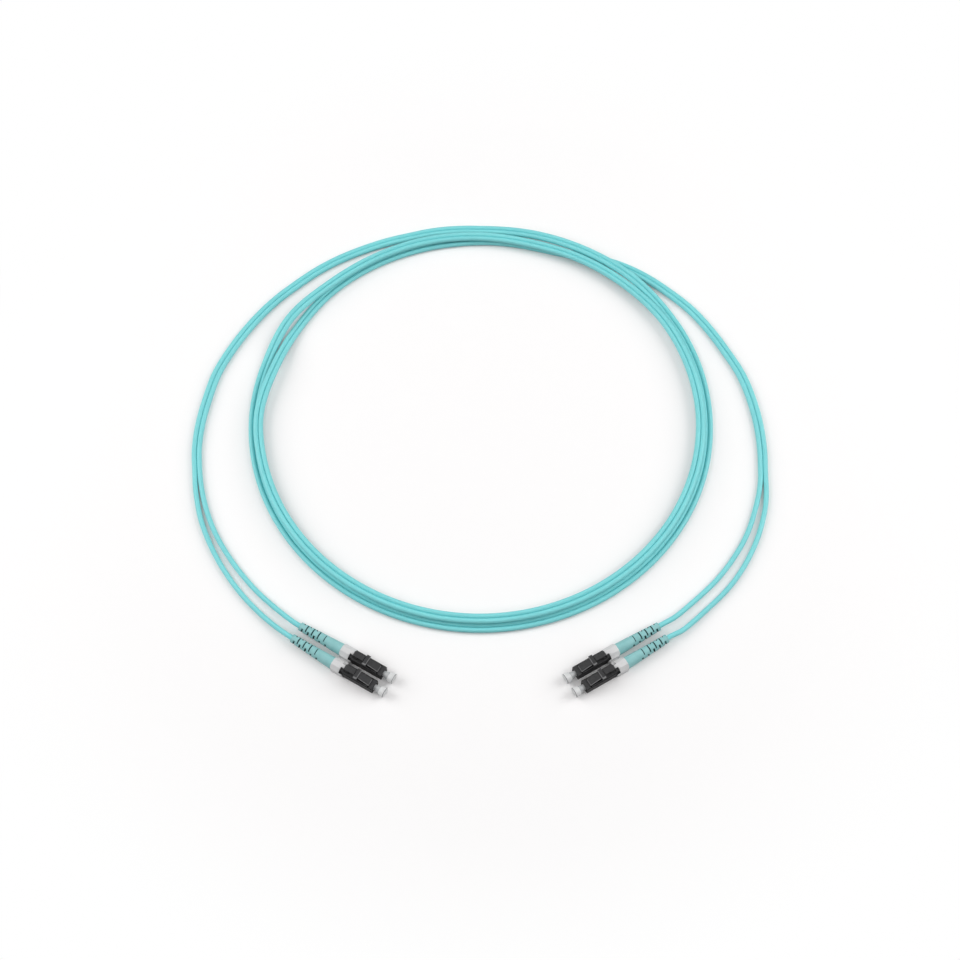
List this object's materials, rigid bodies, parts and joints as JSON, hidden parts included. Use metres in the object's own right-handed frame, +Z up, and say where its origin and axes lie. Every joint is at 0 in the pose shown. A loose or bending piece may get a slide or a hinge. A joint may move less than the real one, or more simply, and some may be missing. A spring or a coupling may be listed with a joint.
{
  "type": "fiber optic patch cord",
  "caption": "Aqua fiber optic zip cord laid in a ring, ending in paired latched plugs with slitted boots, clips and dust caps.",
  "frame": {"origin": "On the table, midway between the two pairs of plugs, under the middle of the plugs' bounding box", "axes": "+X from the left pair to the right pair, +Y towards the coil, +Z up"},
  "size_m": [0.2309, 0.2148, 0.0066],
  "materials": {
    "jacket": "smooth satin cable jacket",
    "boot_rubber": "matt, soft",
    "clip_plastic": "semi-matt moulded",
    "black_plastic": "fine moulded texture",
    "cap_plastic": "translucent, smooth",
    "ceramic": "polished",
    "steel": "turned",
    "spring_steel": "bright wire",
    "brass": "turned",
    "buffer": "smooth"
  },
  "bodies": {
    "cord": {"left_a_plug_housing": "black_plastic", "left_a_backbone": "brass", "left_a_crimp_sleeve": "steel", "left_a_boot": "boot_rubber", "left_a_leg": "jacket", "left_b_plug_housing": "black_plastic", "left_b_backbone": "brass", "left_b_crimp_sleeve": "steel", "left_b_boot": "boot_rubber", "left_b_leg": "jacket", "right_b_plug_housing": "black_plastic", "right_b_backbone": "brass", "right_b_crimp_sleeve": "steel", "right_b_boot": "boot_rubber", "right_b_leg": "jacket", "right_a_plug_housing": "black_plastic", "right_a_backbone": "brass", "right_a_crimp_sleeve": "steel", "right_a_boot": "boot_rubber", "right_a_leg": "jacket", "left_clip": "clip_plastic", "left_lead": "jacket", "right_clip": "clip_plastic", "right_lead": "jacket", "coil": "jacket"},
    "left_a_cap": {"left_a_dust_cap": "cap_plastic"},
    "left_a_latch_arm": {"left_a_latch": "black_plastic"},
    "left_a_trigger_arm": {"left_a_trigger": "black_plastic"},
    "left_a_float": {"left_a_ferrule": "ceramic", "left_a_ferrule_flange": "steel", "left_a_fibre": "buffer", "left_a_ferrule_spring": "spring_steel"},
    "left_b_cap": {"left_b_dust_cap": "cap_plastic"},
    "left_b_latch_arm": {"left_b_latch": "black_plastic"},
    "left_b_trigger_arm": {"left_b_trigger": "black_plastic"},
    "left_b_float": {"left_b_ferrule": "ceramic", "left_b_ferrule_flange": "steel", "left_b_fibre": "buffer", "left_b_ferrule_spring": "spring_steel"},
    "right_b_cap": {"right_b_dust_cap": "cap_plastic"},
    "right_b_latch_arm": {"right_b_latch": "black_plastic"},
    "right_b_trigger_arm": {"right_b_trigger": "black_plastic"},
    "right_b_float": {"right_b_ferrule": "ceramic", "right_b_ferrule_flange": "steel", "right_b_fibre": "buffer", "right_b_ferrule_spring": "spring_steel"},
    "right_a_cap": {"right_a_dust_cap": "cap_plastic"},
    "right_a_latch_arm": {"right_a_latch": "black_plastic"},
    "right_a_trigger_arm": {"right_a_trigger": "black_plastic"},
    "right_a_float": {"right_a_ferrule": "ceramic", "right_a_ferrule_flange": "steel", "right_a_fibre": "buffer", "right_a_ferrule_spring": "spring_steel"}
  },
  "joints": [
    {"name": "left_a_trigger_flex", "type": "hinge", "parent": "cord", "child": "left_a_trigger_arm", "pos_m": [-0.04648, 0.00091, 0.0055], "axis": [0.5075, 0.8616, 0], "range_deg": [0, 8], "stiffness_Nm_per_rad": 0.2},
    {"name": "left_a_latch_flex", "type": "hinge", "parent": "cord", "child": "left_a_latch_arm", "pos_m": [-0.03735, -0.00447, 0.0043], "axis": [-0.5075, -0.8616, 0], "range_deg": [0, 5]},
    {"name": "left_a_ferrule_float", "type": "slide", "parent": "cord", "child": "left_a_float", "axis": [-0.8616, 0.5075, 0], "range_m": [0, 0.0008], "stiffness_N_per_m": 1000, "deforming": ["left_a_ferrule_spring"]},
    {"name": "left_a_cap_pull", "type": "slide", "parent": "cord", "child": "left_a_cap", "axis": [0.8616, -0.5075, 0], "range_m": [0, 0.008]},
    {"name": "left_b_trigger_flex", "type": "hinge", "parent": "cord", "child": "left_b_trigger_arm", "pos_m": [-0.04966, -0.00447, 0.0055], "axis": [0.5075, 0.8616, 0], "range_deg": [0, 8], "stiffness_Nm_per_rad": 0.2},
    {"name": "left_b_latch_flex", "type": "hinge", "parent": "cord", "child": "left_b_latch_arm", "pos_m": [-0.04052, -0.00985, 0.0043], "axis": [-0.5075, -0.8616, 0], "range_deg": [0, 5]},
    {"name": "left_b_ferrule_float", "type": "slide", "parent": "cord", "child": "left_b_float", "axis": [-0.8616, 0.5075, 0], "range_m": [0, 0.0008], "stiffness_N_per_m": 1000, "deforming": ["left_b_ferrule_spring"]},
    {"name": "left_b_cap_pull", "type": "slide", "parent": "cord", "child": "left_b_cap", "axis": [0.8616, -0.5075, 0], "range_m": [0, 0.008]},
    {"name": "right_b_trigger_flex", "type": "hinge", "parent": "cord", "child": "right_b_trigger_arm", "pos_m": [0.04966, -0.00447, 0.0055], "axis": [0.5075, -0.8616, 0], "range_deg": [0, 8], "stiffness_Nm_per_rad": 0.2},
    {"name": "right_b_latch_flex", "type": "hinge", "parent": "cord", "child": "right_b_latch_arm", "pos_m": [0.04052, -0.00985, 0.0043], "axis": [-0.5075, 0.8616, 0], "range_deg": [0, 5]},
    {"name": "right_b_ferrule_float", "type": "slide", "parent": "cord", "child": "right_b_float", "axis": [0.8616, 0.5075, 0], "range_m": [0, 0.0008], "stiffness_N_per_m": 1000, "deforming": ["right_b_ferrule_spring"]},
    {"name": "right_b_cap_pull", "type": "slide", "parent": "cord", "child": "right_b_cap", "axis": [-0.8616, -0.5075, 0], "range_m": [0, 0.008]},
    {"name": "right_a_trigger_flex", "type": "hinge", "parent": "cord", "child": "right_a_trigger_arm", "pos_m": [0.04648, 0.00091, 0.0055], "axis": [0.5075, -0.8616, 0], "range_deg": [0, 8], "stiffness_Nm_per_rad": 0.2},
    {"name": "right_a_latch_flex", "type": "hinge", "parent": "cord", "child": "right_a_latch_arm", "pos_m": [0.03735, -0.00447, 0.0043], "axis": [-0.5075, 0.8616, 0], "range_deg": [0, 5]},
    {"name": "right_a_ferrule_float", "type": "slide", "parent": "cord", "child": "right_a_float", "axis": [0.8616, 0.5075, 0], "range_m": [0, 0.0008], "stiffness_N_per_m": 1000, "deforming": ["right_a_ferrule_spring"]},
    {"name": "right_a_cap_pull", "type": "slide", "parent": "cord", "child": "right_a_cap", "axis": [-0.8616, -0.5075, 0], "range_m": [0, 0.008]}
  ],
  "couplings": [
    {"joint": "left_a_latch_flex", "follows": "left_a_trigger_flex", "ratio": 0.625},
    {"joint": "left_b_latch_flex", "follows": "left_b_trigger_flex", "ratio": 0.625},
    {"joint": "right_b_latch_flex", "follows": "right_b_trigger_flex", "ratio": 0.625},
    {"joint": "right_a_latch_flex", "follows": "right_a_trigger_flex", "ratio": 0.625}
  ]
}
